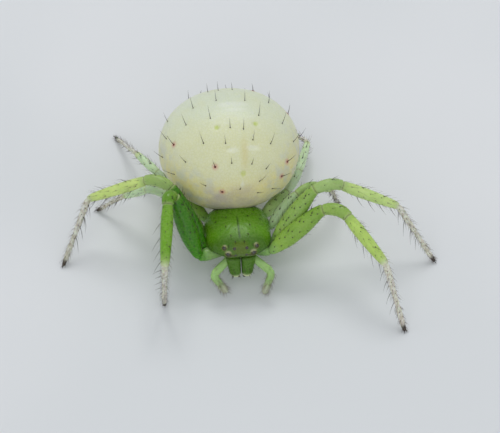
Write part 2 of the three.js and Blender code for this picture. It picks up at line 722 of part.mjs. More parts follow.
addNode("cephalothorax", body, GREEN);
addNode("abdomen", abdomen(), CREAM);
addNode("pedicel", pedicel([headGrown, abdomenGrown]), GREEN);
addNode("spinnerets", spinnerets(abdomenGrown), PALE);
for (const [name, side] of [["left", 1], ["right", -1]]) {
  addNode(`chelicera_${name}`, chelicera(side).subtract(bodyGrown), GREEN);
  palp(name, [bodyGrown, chelicera(side, GAP)]);
}
eyes.forEach(({ name, ball }) => addNode(name, ball, DARK, 0.1));
femurs(bodyGrown);
Object.keys(STANCE).forEach(shin);

abdomenBristles();
carapaceBristles();
Object.keys(STANCE).forEach(legBristles);
Object.keys(PALPS).forEach(palpBristles);
nodes.forEach((node, name) => makeMesh(name, node));

const box = new THREE.Box3().setFromObject(group);
const centre = box.getCenter(new THREE.Vector3());
group.position.set(-centre.x, -centre.y, 0);

export default group;
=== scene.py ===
# Green crab spider: fine skin, bristles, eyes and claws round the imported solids, floor, light and camera.
# Shapes are worked out in millimetres about the middle of the cephalothorax, as in the part's source,
# and written to the meshes in metres in the row's frame.
import math

import bpy
import numpy as np
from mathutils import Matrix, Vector


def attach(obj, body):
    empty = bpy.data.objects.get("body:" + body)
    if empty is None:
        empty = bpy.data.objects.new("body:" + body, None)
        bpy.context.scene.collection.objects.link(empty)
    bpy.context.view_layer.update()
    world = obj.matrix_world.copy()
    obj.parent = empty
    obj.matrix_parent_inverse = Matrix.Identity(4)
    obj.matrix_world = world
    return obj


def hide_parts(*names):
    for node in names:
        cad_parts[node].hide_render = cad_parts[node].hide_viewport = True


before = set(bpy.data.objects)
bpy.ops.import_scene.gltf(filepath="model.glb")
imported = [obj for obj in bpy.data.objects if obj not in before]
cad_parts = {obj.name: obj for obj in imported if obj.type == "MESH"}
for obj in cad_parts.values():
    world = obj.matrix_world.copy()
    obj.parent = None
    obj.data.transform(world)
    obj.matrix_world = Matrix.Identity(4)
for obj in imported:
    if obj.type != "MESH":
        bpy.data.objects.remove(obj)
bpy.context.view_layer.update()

MM = 0.001
SHIFT = np.array([-0.3485, -1.0034, 0.0])

# Sizes that the skin shares with the solids

GAP = 0.03
HELD_OUT = {"right_1": 0.36}
FRONT, REAR = -1.1, 1.3
DISC = {"width": 2.26, "middle": 0.1, "half": REAR - 0.1, "power": 2.7}
HEAD = {"width": 1.3, "middle": -0.5, "half": 0.6, "power": 5}
DOME_POWER = 0.9
BELLY_POWER = 0.8
ABDOMEN = {"width": 4.86, "length": 4.5, "above": 1.72, "below": 1.62, "front": 0.93, "square": 0.95}
ABDOMEN_MIDDLE = np.array([0, 2.9, 2.42])
MIDLINE = 84
PEDICEL = {"radius": 0.16, "low": [0, 0.75, 1.06], "high": [0, 1.75, 1.12]}
SPINNERET = {"radius": 0.11, "length": 0.34, "ring": 0.16, "middle": np.array([0, 4.55, 1.28]), "lean": 0.9}
HIP_Z = 1.2
LEG_ROOT = {"share": [0.42, 0.5, 1], "drop": 0.12}
PAIRS = {1: ((1.05, -0.74), 1.0), 2: ((1.2, -0.35), 0.93), 3: ((1.12, 0.27), 0.71), 4: ((0.92, 0.78), 0.71)}
STANCE = {
    "right_1": ([-2.27, 0.85, 3.35], [-2.69, -2.07, 2.49], [-2.71, -1.75]),
    "left_1": ([3.31, 0.11, 2.68], [4.82, -2.25, 1.92], [5.33, -3.73]),
    "right_2": ([-2.34, 1.47, 3.1], [-4.99, 1.75, 1.75], [-6.02, 0.27]),
    "left_2": ([2.97, 0.73, 3.13], [5.55, 0.18, 1.94], [6.72, -0.87]),
    "right_3": ([-2.5, 1.62, 2.3], [-3.72, 2.38, 0.95], [-4.66, 2.57]),
    "left_3": ([2.43, 1.2, 2.36], [3.43, 1.8, 1.1], [3.72, 2.0]),
    "right_4": ([-2.06, 2.78, 0.88], [-3.12, 4.3, 0.85], [-3.74, 5.76]),
    "left_4": ([2.21, 2.17, 1.1], [2.92, 4.42, 0.55], [2.1, 5.7]),
}
GIRTHS = {
    "coxa": [[0, 0.24], [0.7, 0.22], [1, 0.16]],
    "femur": [[0, 0.16], [0.08, 0.205], [0.3, 0.31], [0.6, 0.32], [0.85, 0.25], [1, 0.2]],
    "patella": [[0, 0.195], [0.35, 0.22], [0.75, 0.215], [1, 0.19]],
    "tibia": [[0, 0.185], [0.25, 0.215], [0.6, 0.2], [0.9, 0.16], [1, 0.13]],
    "metatarsus": [[0, 0.11], [0.15, 0.118], [0.6, 0.1], [1, 0.085]],
    "tarsus": [[0, 0.08], [0.3, 0.095], [0.75, 0.085], [1, 0.06]],
}
KNEE_CUT = 0.47
PATELLA_TAIL = 0.3
METATARSUS_SHARE = 0.6
CORNER_BEND = 0.2
KNEE_BEND = {"most": 0.4, "share": 0.47}
FOOT_SINK = 0.016
CHELICERA = {"top": [0.255, -0.98, 1.36], "tip": [0.19, -1.2, 0.6], "half": [0.26, 0.21, 0], "taper": 0.32}
MOUTH_LOBE = {"middle": [0.17, -0.74, 0.98], "half": [0.155, 0.2, 0.4]}
PALPS = {
    "right": ([-0.5, -0.98, 1.14], [-1.0, -1.38, 0.96], [-0.54, -1.66, 0.28]),
    "left": ([0.5, -0.98, 1.14], [1.02, -1.5, 1.0], [0.71, -1.82, 0.26]),
}
PALP_UPPER = [[0, 0.11], [0.3, 0.135], [0.7, 0.14], [1, 0.125]]
PALP_TARSUS = [[0, 0.12], [0.35, 0.135], [0.8, 0.11], [1, 0.055]]
PALP_TARSUS_SHARE = 0.52
EYES = {
    "front_median": (0.19, 1.6, 0.055),
    "front_lateral": (0.43, 1.66, 0.085),
    "rear_median": (0.21, 1.83, 0.05),
    "rear_lateral": (0.545, 1.82, 0.07),
}
ABDOMEN_ROWS = [
    [14, [-66, -6, 44], 0.2], [26, [-78, -38, 58], 0.3], [41, [-68, -35, -14, 8, 27], 0.28],
    [56, [-60, 56, 82], 0.34], [66, [-30, -12, 11, 30], 0.32], [78, [-60, -4, 6, 60, 84], 0.32],
    [90, [-73, -42, -18, 20, 42, 68], 0.36], [112, [-62, -33, -9, 14, 35, 68], 0.34],
    [137, [-58, -30, -2, 12, 24, 52], 0.3], [158, [-50, 0, 50], 0.26],
]


# Small helpers


def unit(v):
    v = np.asarray(v, float)
    return v / (np.linalg.norm(v, axis=-1, keepdims=True) + 1e-12)


def smooth(low, high, x):
    t = np.clip((np.asarray(x, float) - low) / (high - low), 0, 1)
    return t * t * (3 - 2 * t)


def bell(x, width):
    return np.exp(-((x / width) ** 2))


def blunt(to_end, over, least):
    """What a limb's radius is multiplied by near its rounded tip."""
    return np.sqrt(np.clip(1 - (1 - np.clip(to_end / over, 0, 1)) ** 2, least, 1))


def ring_turns(count):
    return 2 * np.pi * np.arange(count) / count


def circles(across, fore, radii, count):
    """Corners of rings about their middles, one ring for each row of the two directions."""
    turn = ring_turns(count)
    flat = across[:, None] * np.cos(turn)[:, None] + fore[:, None] * np.sin(turn)[:, None]
    return flat * radii[:, None, None]


def direction(azimuth, elevation):
    """Unit vector towards a place seen at degrees round from the front and degrees up."""
    a, e = math.radians(azimuth), math.radians(elevation)
    return np.array([math.sin(a) * math.cos(e), -math.cos(a) * math.cos(e), math.sin(e)])


def add_object(name, data):
    made = bpy.data.objects.new(name, data)
    bpy.context.collection.objects.link(made)
    return made


def profile(pairs):
    """A smooth curve through [position, value] pairs, flat at both ends."""
    x, y = np.array(pairs, float).T
    slope = np.zeros(len(x))
    slope[1:-1] = (y[2:] - y[:-2]) / (x[2:] - x[:-2])

    def read(t):
        t = np.clip(np.asarray(t, float), x[0], x[-1])
        i = np.clip(np.searchsorted(x, t, side="right") - 1, 0, len(x) - 2)
        h = x[i + 1] - x[i]
        s = (t - x[i]) / h
        rise = y[i] * (2 * s**3 - 3 * s**2 + 1) + y[i + 1] * (3 * s**2 - 2 * s**3)
        return rise + slope[i] * h * (s**3 - 2 * s**2 + s) + slope[i + 1] * h * (s**3 - s**2)

    return read


class Limb:
    """A limb's centreline with a frame carried along it, read by distance from the root."""

    STEP = 0.02

    def __init__(self, corners, bends):
        corners = [np.array(c, float) for c in corners]
        dense = [corners[0]]
        for before, corner, after, bend in zip(corners, corners[1:], corners[2:], bends):
            start = corner - unit(corner - before) * bend
            end = corner + unit(after - corner) * bend
            for t in np.linspace(0, 1, 24):
                dense.append((1 - t) ** 2 * start + 2 * t * (1 - t) * corner + t * t * end)
        dense.append(corners[-1])
        dense = np.array(dense)
        run = np.concatenate([[0], np.cumsum(np.linalg.norm(np.diff(dense, axis=0), axis=1))])
        self.length = run[-1]
        self.at = np.linspace(0, self.length, int(math.ceil(self.length / self.STEP)) + 1)
        self.points = np.stack([np.interp(self.at, run, dense[:, k]) for k in range(3)], 1)
        self.tangents = unit(np.gradient(self.points, axis=0))
        side = unit(np.cross(self.tangents[0], [0, 0, 1]))
        sides = []
        for t in self.tangents:
            side = unit(side - t * (side @ t))
            sides.append(side)
        self.sides = np.array(sides)
        self.ups = np.cross(self.sides, self.tangents)

    def nearest(self, corner):
        return self.at[np.argmin(np.linalg.norm(self.points - np.array(corner), axis=1))]

    def read(self, s):
        pick = lambda rows: np.stack([np.interp(s, self.at, rows[:, k]) for k in range(3)], -1)
        return pick(self.points), unit(pick(self.tangents)), unit(pick(self.sides)), unit(pick(self.ups))

    def surface(self, s, turn, radius):
        """Points and outward normals at distances s, turned round the limb, at that radius."""
        point, tangent, side, up = self.read(s)
        out = side * np.cos(turn)[..., None] + up * np.sin(turn)[..., None]
        return point + out * np.asarray(radius)[..., None], out, tangent

    def rings(self, s, radii, sides):
        """Rings round the limb at distances s, each with its own radius."""
        return self.surface(s[:, None], ring_turns(sides), radii[:, None])[0]


def by_ring(**looks):
    """Named numbers that are the same all the way round each ring."""
    return {name: np.clip(values, 0, 1)[:, None] for name, values in looks.items()}


def build_object(name, points, faces, materials):
    """A smoothly shaded object from points in millimetres."""
    data = bpy.data.meshes.new(name)
    data.from_pydata(((points + SHIFT) * MM).tolist(), [], faces)
    for material in materials:
        data.materials.append(material)
    data.polygons.foreach_set("use_smooth", [True] * len(faces))
    return add_object(name, data)


class Mesh:
    """Vertices, faces and named numbers for each vertex, gathered from closed tubes of rings."""

    def __init__(self):
        self.points, self.faces, self.looks, self.material = [], [], [], []
        self.count = 0

    def tube(self, rings, looks=None, material=0):
        """A closed surface over rings, an array (rows, columns, 3), with a fan at each end."""
        rows, columns, _ = rings.shape
        half = rows // 2
        corner, beside, behind = rings[half, 0], rings[half, 1], rings[half + 1, 0]
        inward = np.dot(np.cross(beside - corner, behind - corner), corner - rings[half].mean(0)) < 0
        step = -1 if inward else 1
        first = self.count + rows * columns
        grid = np.arange(self.count, first).reshape(rows, columns)
        next_ = np.roll(grid, -1, 1)
        quads = np.stack([grid[:-1], next_[:-1], next_[1:], grid[1:]], -1).reshape(-1, 4)
        low = [np.full(columns, first), next_[0], grid[0]]
        high = [np.full(columns, first + 1), grid[-1], next_[-1]]
        fans = np.transpose([low, high], (2, 0, 1)).reshape(-1, 3)
        faces = quads[:, ::step].tolist() + fans[:, ::step].tolist()
        full = {}
        for name, values in (looks or {}).items():
            spread = np.broadcast_to(values, (rows, columns)).astype(float)
            full[name] = np.concatenate([spread.ravel(), [spread[0].mean(), spread[-1].mean()]])
        self.points += [rings.reshape(-1, 3), rings[0].mean(0)[None], rings[-1].mean(0)[None]]
        self.faces += faces
        self.looks.append((self.count, full))
        self.material += [material] * len(faces)
        self.count = first + 2

    def build(self, name, materials):
        made = build_object(name, np.concatenate(self.points), self.faces, materials)
        for key in sorted({key for _, looks in self.looks for key in looks}):
            values = np.zeros(self.count, np.float32)
            for start, looks in self.looks:
                if key in looks:
                    values[start : start + len(looks[key])] = looks[key]
            made.data.attributes.new(key, "FLOAT", "POINT").data.foreach_set("value", values)
        made.data.polygons.foreach_set("material_index", self.material)
        return made


def normals_of(rings):
    """Outward normals of a tube of rings."""
    along = np.gradient(rings, axis=0)
    round_ = np.roll(rings, -1, 1) - np.roll(rings, 1, 1)
    n = unit(np.cross(round_, along))
    return n * np.sign((n * (rings - rings.mean((0, 1)))).sum())


# Materials


def linear(color):
    """The linear colour of red, green and blue out of 255."""
    shares = [c / 255 for c in color]
    return [c / 12.92 if c <= 0.04045 else ((c + 0.055) / 1.055) ** 2.4 for c in shares] + [1]


class Paint:
    """A material whose base colour is laid on in layers, each through a mask."""

    # The colour sockets of a Mix node
    UNDER, OVER, MIXED = 6, 7, 2

    def __init__(self, name, base, **sockets):
        self.material = bpy.data.materials.new(name)
        self.material.use_nodes = True
        self.tree = self.material.node_tree
        self.shader = self.tree.nodes["Principled BSDF"]
        self.feed(self.shader, {key.replace("_", " "): value for key, value in sockets.items()})
        self.color = self.node("RGB").outputs[0]
        self.color.default_value = linear(base)
        self.where = self.node("TexCoord").outputs["Object"]

    def feed(self, node, inputs):
        """Links each named input to another node's output, or sets it to a value."""
        for key, value in inputs.items():
            if isinstance(value, bpy.types.NodeSocket):
                self.tree.links.new(value, node.inputs[key])
            else:
                node.inputs[key].default_value = value

    def node(self, kind, inputs=None, **values):
        made = self.tree.nodes.new("ShaderNode" + kind)
        for key, value in values.items():
            setattr(made, key, value)
        self.feed(made, inputs or {})
        return made

    def per_mm(self):
        """Object coordinates, in millimetres."""
        return self.node("Mapping", {"Scale": [1 / MM] * 3, "Vector": self.where}).outputs[0]

    def noise(self, scale, detail, low=0.4, high=0.6):
        made = self.node("TexNoise", {"Vector": self.per_mm(), "Scale": scale, "Detail": detail})
        return self.ranged(made.outputs["Fac"], low, high)

    def cells(self, scale, low, high):
        inputs = {"Vector": self.per_mm(), "Scale": scale}
        made = self.node("TexVoronoi", inputs, feature="DISTANCE_TO_EDGE")
        return self.ranged(made.outputs["Distance"], low, high)

    def ranged(self, source, low, high):
        inputs = {"Value": source, "From Min": low, "From Max": high}
        return self.node("MapRange", inputs, interpolation_type="SMOOTHSTEP").outputs["Result"]

    def mask(self, name):
        return self.node("Attribute", attribute_name=name).outputs["Fac"]

    def times(self, a, b):
        return self.node("Math", {0: a, 1: b}, operation="MULTIPLY").outputs[0]

    def lay(self, color, mask):
        inputs = {"Factor": mask, self.UNDER: self.color, self.OVER: linear(color)}
        self.color = self.node("Mix", inputs, data_type="RGBA").outputs[self.MIXED]

    def layers(self, **colors):
        """A layer for each name, through the mask of that name."""
        for name, color in colors.items():
            self.lay(color, self.mask(name))

    def finish(self, bumps=(), rough=None):
        """Links the colour, bumps of (height, distance, strength) and roughness of (source, low, high)."""
        normal = {}
        for height, distance, strength in bumps:
            inputs = {"Height": height, "Distance": distance * MM, "Strength": strength}
            normal = {"Normal": self.node("Bump", inputs | normal).outputs[0]}
        self.feed(self.shader, {"Base Color": self.color} | normal)
        if rough:
            source, low, high = rough
            made = self.node("MapRange", {"Value": source, "To Min": low, "To Max": high})
            self.feed(self.shader, {"Roughness": made.outputs["Result"]})
        return self.material


def cuticle_paint():
    p = Paint(
        "green_cuticle", (144, 190, 62), Roughness=0.34, Subsurface_Weight=0.3, Subsurface_Scale=0.25 * MM,
        Subsurface_Radius=(0.7, 1.0, 0.25), Coat_Weight=0.12, Coat_Roughness=0.16, Specular_IOR_Level=0.24,
    )
    cloud = p.noise(1.6, 3)
    grain = p.noise(14, 4)
    p.layers(yellow=(222, 234, 118), grey=(206, 228, 190), deep=(54, 128, 0), shield=(86, 140, 10))
    p.lay((84, 140, 20), p.times(cloud, 0.12))
    p.lay((190, 212, 110), p.times(grain, 0.08))
    p.layers(joint=(206, 212, 160), tan=(226, 223, 216))
    p.lay((150, 120, 96), p.times(p.mask("tan"), p.times(p.noise(9, 4), 0.4)))
    # The pale layer also lays the painted highlight above the lateral eyes
    p.layers(gold=(160, 148, 40), ring=(176, 146, 104), pale=(226, 222, 190))
    # The line layer lays dark lines, and also painted shade over the face and down the seam between the
    # chelicerae
    p.layers(line=(36, 64, 18), dark=(44, 30, 20))
    fine = p.cells(16, 0.0, 0.25)
    return p.finish([(fine, 0.004, 0.35), (p.noise(30, 3), 0.003, 0.4)], (grain, 0.22, 0.36))


def abdomen_paint():
    p = Paint(
        "abdomen_skin", (214, 224, 202), Roughness=0.42, Subsurface_Weight=0.45, Subsurface_Scale=0.35 * MM,
        Subsurface_Radius=(1.0, 1.0, 0.7), Coat_Weight=0.15, Coat_Roughness=0.3, Specular_IOR_Level=0.4,
    )
    cloud = p.noise(1.1, 3)
    p.layers(cream=(211, 213, 170), gold=(228, 214, 132))
    p.lay((214, 214, 160), p.times(cloud, 0.25))
    cells = p.cells(9, 0.02, 0.16)
    p.lay((228, 232, 214), p.times(cells, 0.22))
    p.lay((196, 202, 196), p.times(p.mask("blue"), p.noise(3.2, 3, 0.38, 0.68)))
    p.lay((184, 174, 164), p.times(p.mask("mauve"), p.noise(1.6, 4, 0.22, 0.72)))
    # The white layer lays the pale marks and a painted reflection across the top
    p.layers(white=(232, 236, 226), heart=(205, 192, 120), spot=(186, 204, 60))
    p.layers(halo=(205, 130, 120), tan=(196, 160, 124))
    return p.finish([(cells, 0.01, 0.3), (p.noise(12, 4), 0.006, 0.5)], (cloud, 0.36, 0.5))


def plain_paint(name, base, dark, scale=20, **sockets):
    p = Paint(name, base, **sockets)
    p.lay(dark, p.times(p.noise(scale, 3), 0.6))
    return p.finish([(p.noise(scale * 2, 2), 0.002, 0.3)])


CUTICLE = cuticle_paint()
ABDOMEN_SKIN = abdomen_paint()
BRISTLE = plain_paint("bristle", (52, 36, 26), (20, 14, 12), Roughness=0.4)
REDDISH = plain_paint("reddish_socket", (120, 48, 36), (60, 24, 20), Roughness=0.45)
HAIR = plain_paint("fine_hair", (132, 118, 104), (84, 72, 62), Roughness=0.5)
EYE = plain_paint(
    "eye_lens", (30, 20, 14), (10, 8, 8), scale=8, Roughness=0.06, Coat_Weight=1.0, Coat_Roughness=0.03
)
CLAW = plain_paint("claw", (40, 26, 18), (16, 10, 8), Roughness=0.25, Coat_Weight=0.4)

# Cephalothorax


def lobe_width(y, width, middle, half, power):
    t = np.clip(np.abs((y - middle) / half), 0, 1)
    return width / 2 * (1 - t**power) ** (1 / power)


def half_width(y):
    """Half the width of the disc and the head, blended where they meet."""
    blend = 8
    return (lobe_width(y, **DISC) ** blend + lobe_width(y, **HEAD) ** blend) ** (1 / blend)


crown_height = profile([[-1.1, 1.72], [-0.95, 1.9], [-0.55, 2.0], [0, 2.02], [0.7, 1.88], [1.3, 1.46]])
under_height = profile([[-1.1, 1.45], [-0.8, 1.4], [-0.6, 0.98], [-0.3, 0.82], [0.5, 0.82], [1.3, 1.12]])
edge_height = profile([[-1.1, 1.55], [-0.7, 1.5], [-0.3, 1.32], [1.3, 1.28]])


def inside_head(x, y, z):
    edge = edge_height(y)
    top = crown_height(y) - edge
    height = np.clip((z - edge) / top, 0, None)
    return (np.abs(x) / half_width(y)) ** (2 / DOME_POWER) + height ** (2 / DOME_POWER) < 1


def face_at(x, z):
    """How far forward the face reaches at a given place across and up."""
    ys = np.arange(FRONT + 0.01, 0, 0.005)
    return ys[np.argmax(inside_head(x, ys, z))]


def eye_places():
    for row, (x, z, r) in EYES.items():
        for name, side in (("left", 1), ("right", -1)):
            yield f"{row}_{name}", np.array([x * side, face_at(x, z) + 0.25 * r, z]), r


def carapace_rings(sides=168, steps=132):
    inset = 0.01
    least_width = 0.12
    t = (1 - np.cos(np.pi * np.arange(steps + 1) / steps)) / 2
    y = (FRONT + inset + (REAR - FRONT - 2 * inset) * t)[:, None]
    a = ring_turns(sides)
    edge = edge_height(y)
    c, s = np.cos(a), np.sin(a)
    power = np.where(s > 0, DOME_POWER, BELLY_POWER)
    x = np.maximum(half_width(y), least_width) * np.sign(c) * np.abs(c) ** power
    reach = np.where(s > 0, crown_height(y) - edge, edge - under_height(y))
    z = edge + reach * np.sign(s) * np.abs(s) ** power
    return np.stack([x, np.broadcast_to(y, x.shape), z], -1)


def eye_marks(rings):
    """How far the cuticle rises round the eyes, how pale and dark it is there, and a painted highlight on
    the upper side of each lateral eye.
    """
    raised, ring, painted_glint, dark = (np.zeros(rings.shape[:2]) for _ in range(4))
    for name, middle, r in eye_places():
        away = np.linalg.norm(rings - middle, axis=-1)
        if "lateral" in name:
            raised += 0.05 * bell(away, 1.5 * r)
            ring = np.maximum(ring, smooth(1.7 * r, 1.25 * r, away) * 0.4)
            # A painted highlight on the upper side of each lateral eye, laid on with the pale layer and
            # clearing the dark rim there
            above = smooth(0.1 * r, 0.8 * r, rings[..., 2] - middle[2])
            painted_glint = painted_glint + smooth(1.7 * r, 1.2 * r, away) * above
        else:
            ring = np.maximum(ring, smooth(1.7 * r, 1.15 * r, away) * 0.3)
        dark = np.maximum(dark, smooth(1.35 * r, 1.12 * r, away) * 0.75)
    return raised, ring, np.clip(painted_glint, 0, 1), dark


def furrow_marks(x, y):
    """Shallow furrows that spread from the middle of the thorax."""
    middle = 0.15
    angle = np.arctan2(np.abs(x), -(y - middle))
    reach = np.hypot(x, y - middle)
    along = smooth(0.15, 0.4, reach) * smooth(1.0, 0.7, reach)
    return sum(bell(angle - turn, 0.09) * along for turn in (0.75, 1.35, 1.95, 2.5))


def add_cephalothorax(mesh):
    rings = carapace_rings()
    normals = normals_of(rings)
    x, y, z = np.moveaxis(rings, -1, 0)
    above_edge = z - edge_height(y)
    top = smooth(0, 0.25, above_edge)
    rim = bell(above_edge, 0.035)
    median = bell(x, 0.035) * smooth(-0.75, -0.5, y) * smooth(0.45, 0.1, y) * top
    furrows = furrow_marks(x, y) * top
    raised, ring, painted_glint, dark = eye_marks(rings)
    raised = raised - 0.012 * median - 0.008 * furrows + 0.012 * rim
    rings = rings + normals * raised[..., None]
    eye_field = smooth(-0.72, -0.88, y) * smooth(0.34, 0.12, np.abs(x)) * smooth(1.5, 1.58, z)
    clypeus = smooth(-0.95, -1.0, y) * bell(z - 1.52, 0.035) * smooth(0.6, 0.45, np.abs(x))
    # Painted shade over the front of the face, laid on with the line layer
    shaded_face = smooth(-0.3, -0.75, y) * (1 - ring)
    line = 0.75 * median * smooth(0.55, 1.0, bell(x, 0.016))
    looks = {
        "shield": 0.95 - 0.2 * smooth(0.1, -0.2, above_edge),
        "grey": 0.35 * smooth(0.3, -0.1, above_edge),
        "gold": 0.3 * eye_field * (1 - ring),
        "ring": ring,
        # The painted highlight above the lateral eyes lifts their dark rims, and the pale layer carries it
        # beside the clypeus band
        "dark": dark * (1 - painted_glint),
        "line": line + 0.12 * furrows + 0.3 * rim + 0.55 * shaded_face,
        "pale": 0.5 * clypeus + 0.4 * painted_glint,
    }
    mesh.tube(rings, looks)


def chelicera_middle(t):
    top, tip = np.array(CHELICERA["top"]), np.array(CHELICERA["tip"])
    return top + (tip - top) * t


def chelicera_girth(t):
    return 1 - CHELICERA["taper"] * t**1.5


def add_chelicerae(mesh):
    steps, sides = 48, 40
    t = np.linspace(0, 1, steps + 1)[:, None]
    turn = ring_turns(sides)
    swell = chelicera_girth(t) * (1 - 1.25 * np.maximum(0, t - 0.8)) * (1 - smooth(0.93, 1.0, t) * 0.45)
    middle = chelicera_middle(t[..., None])
    wide, deep, _ = CHELICERA["half"]
    x = np.maximum(middle[..., 0] + wide * swell * np.cos(turn), GAP / 2)
    y = middle[..., 1] + deep * swell * np.sin(turn)
    z = np.broadcast_to(middle[..., 2], x.shape)
    pale = smooth(0.7, 0.95, t)
    # Painted shade down the front where the two chelicerae meet, laid on with the line layer
    seam_shade = smooth(0.05, 0.0, x - GAP / 2) * smooth(0, 0.02, -np.sin(turn))
    looks = {
        "shield": 0.95 * (1 - pale),
        "grey": 0.3,
        "pale": 0.5 * pale,
        "tan": 0.3 * pale,
        "line": 0.5 * (1 - pale) + 0.4 * seam_shade,
    }
    for side in (1, -1):
        mesh.tube(np.stack([x * side, y, z], -1), looks)


def ball(rows, columns, inset):
    """Points of a unit ball in rings from its low pole to its high pole."""
    back = (np.pi * (inset + (1 - 2 * inset) * np.arange(rows) / (rows - 1)))[:, None]
    turn = ring_turns(columns)
    across, along = np.sin(back) * np.cos(turn), np.sin(back) * np.sin(turn)
    return np.stack([across, along, np.broadcast_to(-np.cos(back), across.shape)], -1)


def add_mouth_lobes(mesh):
    lobe = ball(25, 32, 0.01) * MOUTH_LOBE["half"]
    looks = {"deep": 0.35, "grey": 0.4, "pale": 0.25}
    for side in (1, -1):
        mesh.tube(lobe + np.array(MOUTH_LOBE["middle"]) * [side, 1, 1], looks)


# Legs and palps


class Leg:
    """One leg: its path, where its pieces start and end, and its radius anywhere along it."""

    def __init__(self, name):
        self.name = name
        self.side = 1 if name.startswith("left") else -1
        pair = int(name[-1])
        self.front = pair < 3
        (hx, hy), self.girth = PAIRS[pair]
        knee, ankle, foot = (np.array(p, float) for p in STANCE[name])
        hip = np.array([(hx + HELD_OUT.get(name, 0)) * self.side, hy, HIP_Z])
        root = hip * LEG_ROOT["share"] - [0, 0, LEG_ROOT["drop"]]
        slope = unit(np.append(foot, 0) - ankle)[2]
        tip_radius = GIRTHS["tarsus"][-1][1] * self.girth
        toe = np.append(foot, tip_radius * math.sqrt(1 - slope * slope) - FOOT_SINK)
        knee_in = knee + unit(hip - knee) * KNEE_CUT
        knee_out = knee + unit(ankle - knee) * KNEE_CUT
        bend = min(KNEE_BEND["most"], KNEE_BEND["share"] * np.linalg.norm(knee_in - knee_out))
        self.limb = Limb([root, hip, knee_in, knee_out, ankle, toe], [CORNER_BEND, bend, bend, CORNER_BEND])
        at_hip, at_femur, at_knee, at_ankle = map(self.limb.nearest, (hip, knee_in, knee_out, ankle))
        at_tibia = at_knee + PATELLA_TAIL * self.girth
        at_tarsus = at_ankle + (self.limb.length - at_ankle) * METATARSUS_SHARE
        self.joints = [at_hip, at_femur, at_tibia, at_ankle, at_tarsus]
        ends = [0, *self.joints, self.limb.length]
        self.pieces = dict(zip(GIRTHS, zip(ends, ends[1:], GIRTHS.values())))

    def radius(self, s):
        s = np.asarray(s, float)
        r = np.zeros_like(s)
        for start, end, pairs in self.pieces.values():
            here = (s >= start - 1e-9) & (s <= end + 1e-9)
            r = np.where(here, profile(pairs)((s - start) / (end - start)), r)
        for joint in self.joints:
            r = r * (1 - 0.17 * bell(s - joint, 0.022))
            r = r * (1 + 0.05 * bell(s - joint + 0.06, 0.03))
        return r * self.girth

    def share(self, s, part):
        start, end, _ = self.pieces[part]
        return (s - start) / (end - start)

    def along(self, part, share):
        start, end, _ = self.pieces[part]
        return start + (end - start) * share


# How deep green, yellow and grey each leg looks, on its femur and then below the knee
TONES = {
    "right_1": ((1.0, 0.0, 0.0), (0.55, 0.1, 0.0)),
    "left_1": ((0.14, 0.25, 0.05), (0.0, 0.4, 0.15)),
    "right_2": ((1.0, 0.0, 0.1), (0.1, 0.85, 0.3)),
    "left_2": ((0.08, 0.3, 0.15), (0.0, 0.5, 0.35)),
    "right_3": ((0.3, 0.1, 0.1), (0.0, 0.8, 1.0)),
    "left_3": ((0.0, 0.1, 0.75), (0.0, 0.4, 0.3)),
    "right_4": ((0.3, 0.2, 0.1), (0.0, 0.9, 1.0)),
    "left_4": ((0.0, 0.3, 0.4), (0.0, 0.5, 1.0)),
}


def leg_stations(leg):
    """Distances along a leg for its rings, closer together at the joints and the tip."""
    end = leg.limb.length
    even = np.arange(0, end - 0.012, 0.03)
    near = [joint + np.arange(-0.09, 0.091, 0.012) for joint in leg.joints]
    tip = end - np.array([0.012, 0.006, 0.0])
    s = np.unique(np.round(np.concatenate([even, *near, tip]), 4))
    return s[(s >= 0) & (s <= end)]


def add_leg(mesh, leg):
    s = leg_stations(leg)
    to_end = leg.limb.length - s
    rings = leg.limb.rings(s, leg.radius(s) * blunt(to_end, 0.06, 0.02), 26)
    rings[..., 2] = np.maximum(rings[..., 2], 0.0)
    femur, tibia = leg.share(s, "femur"), leg.share(s, "tibia")
    ankle = leg.joints[3]
    joint = sum(bell(s - j, 0.05) for j in leg.joints[1:4])
    lines = sum(bell(s - j, 0.014) for j in leg.joints)
    on_femur = smooth(-0.15, 0.1, femur) * smooth(1.06, 0.92, femur)
    shin = smooth(0.98, 1.04, femur) * smooth(ankle + 0.05, ankle - 0.3, s)
    tan = smooth(ankle - 0.25, ankle + 0.12, s)
    coxa = smooth(0.25, -0.1, femur)
    knee = smooth(leg.joints[2] + 0.3, leg.joints[2] - 0.1, s) * smooth(-0.1, 0.5, femur)
    deep, yellow, grey = (on_femur * above + shin * below for above, below in zip(*TONES[leg.name]))
    looks = by_ring(
        deep=deep + coxa * 0.45,
        yellow=(1 - coxa) * yellow * (1 - 0.6 * knee),
        grey=np.maximum(grey, 0.5 * coxa) * (1 - tan),
        joint=0.5 * joint + 0.3 * smooth(0.75, 1.0, tibia) * (1 - tan),
        tan=tan * 0.92,
        line=0.28 * lines * (1 - tan) + 0.26 * knee + 0.1 * tan * (leg.side < 0),
        dark=smooth(0.34, 0.14, to_end) * 0.95,
    )
    mesh.tube(rings, looks)


class Palp:
    def __init__(self, name):
        base, knee, tip = (np.array(p, float) for p in PALPS[name])
        root = base * [0.75, 1, 1] + [0, 0.2, 0.1]
        self.limb = Limb([root, base, knee, tip], [0.08, 0.2])
        at_knee = self.limb.nearest(knee)
        self.at_tarsus = at_knee + (self.limb.length - at_knee) * (1 - PALP_TARSUS_SHARE)

    def radius(self, s):
        s = np.asarray(s, float)
        upper = profile(PALP_UPPER)(s / self.at_tarsus)
        lower = profile(PALP_TARSUS)((s - self.at_tarsus) / (self.limb.length - self.at_tarsus))
        r = np.where(s < self.at_tarsus, upper, lower)
        for share in (1, 0.66, 0.86):
            r = r * (1 - 0.12 * bell(s - self.at_tarsus * share, 0.02))
        return r


